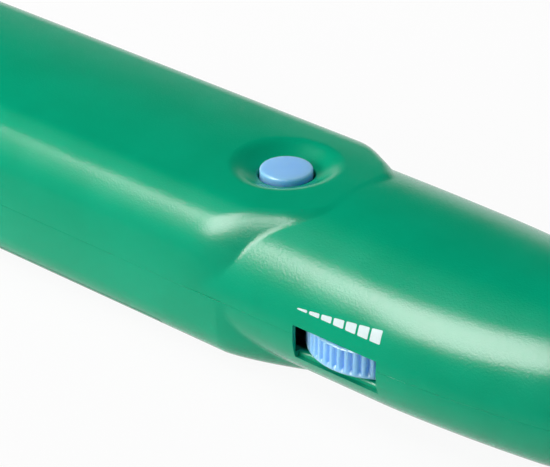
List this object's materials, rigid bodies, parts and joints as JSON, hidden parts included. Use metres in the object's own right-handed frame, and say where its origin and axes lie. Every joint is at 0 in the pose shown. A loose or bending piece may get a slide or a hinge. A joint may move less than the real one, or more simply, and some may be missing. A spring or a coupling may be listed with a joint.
{
  "type": "cable locator",
  "caption": "Hand-held cable locator: two-shell green housing with a rounded shoulder, push button, side thumbwheel, sliding battery door and black probe tip.",
  "frame": {"origin": "on the flat back, midway along the whole length and width", "axes": "+X along the housing to the probe tip, +Z out of the button face, the thumbwheel on the -Y side"},
  "size_m": [0.218, 0.0461, 0.0294],
  "materials": {
    "housing": "fine-grained satin",
    "controls": "satin",
    "tip": "satin",
    "plunger": "plain",
    "switch": "plain",
    "shaft": "turned",
    "board": "solder resist",
    "chips": "matt",
    "cans": "sleeve",
    "steel": "plated",
    "cone": "pressed film",
    "magnet": "sintered",
    "brass": "drawn",
    "leads": "insulated wire",
    "battery": "bare, unmarked can"
  },
  "bodies": {
    "housing": {"top_shell": "housing", "bottom_shell": "housing", "switch_body": "switch", "potentiometer": "switch", "pot_terminals": "steel", "circuit_board": "board", "chip_packages": "chips", "filter_capacitors": "cans", "chip_resistors": "chips", "speaker_basket": "steel", "speaker_cone": "cone", "speaker_magnet": "magnet", "speaker_leads": "leads", "probe_tip": "tip", "antenna_rod": "brass", "antenna_lead": "leads", "battery_case": "battery", "battery_terminals": "steel", "battery_snap": "tip", "battery_leads": "leads", "case_screws": "steel", "board_screws": "steel"},
    "button": {"power_button": "controls", "switch_plunger": "plunger"},
    "wheel": {"sensitivity_wheel": "controls", "wheel_screw": "steel", "pot_shaft": "shaft"},
    "door": {"battery_door": "housing"}
  },
  "joints": [
    {"name": "button_press", "type": "slide", "parent": "housing", "child": "button", "axis": [0, 0, -1], "range_m": [0, 0.0008], "stiffness_N_per_m": 1500, "springref_m": -0.0004},
    {"name": "wheel_turn", "type": "hinge", "parent": "housing", "child": "wheel", "pos_m": [0.0279, -0.0099, 0.01215], "axis": [0, 0, 1], "range_deg": [-140, 140]},
    {"name": "door_slide", "type": "slide", "parent": "housing", "child": "door", "axis": [-1, 0, 0], "range_m": [0, 0.093]}
  ]
}
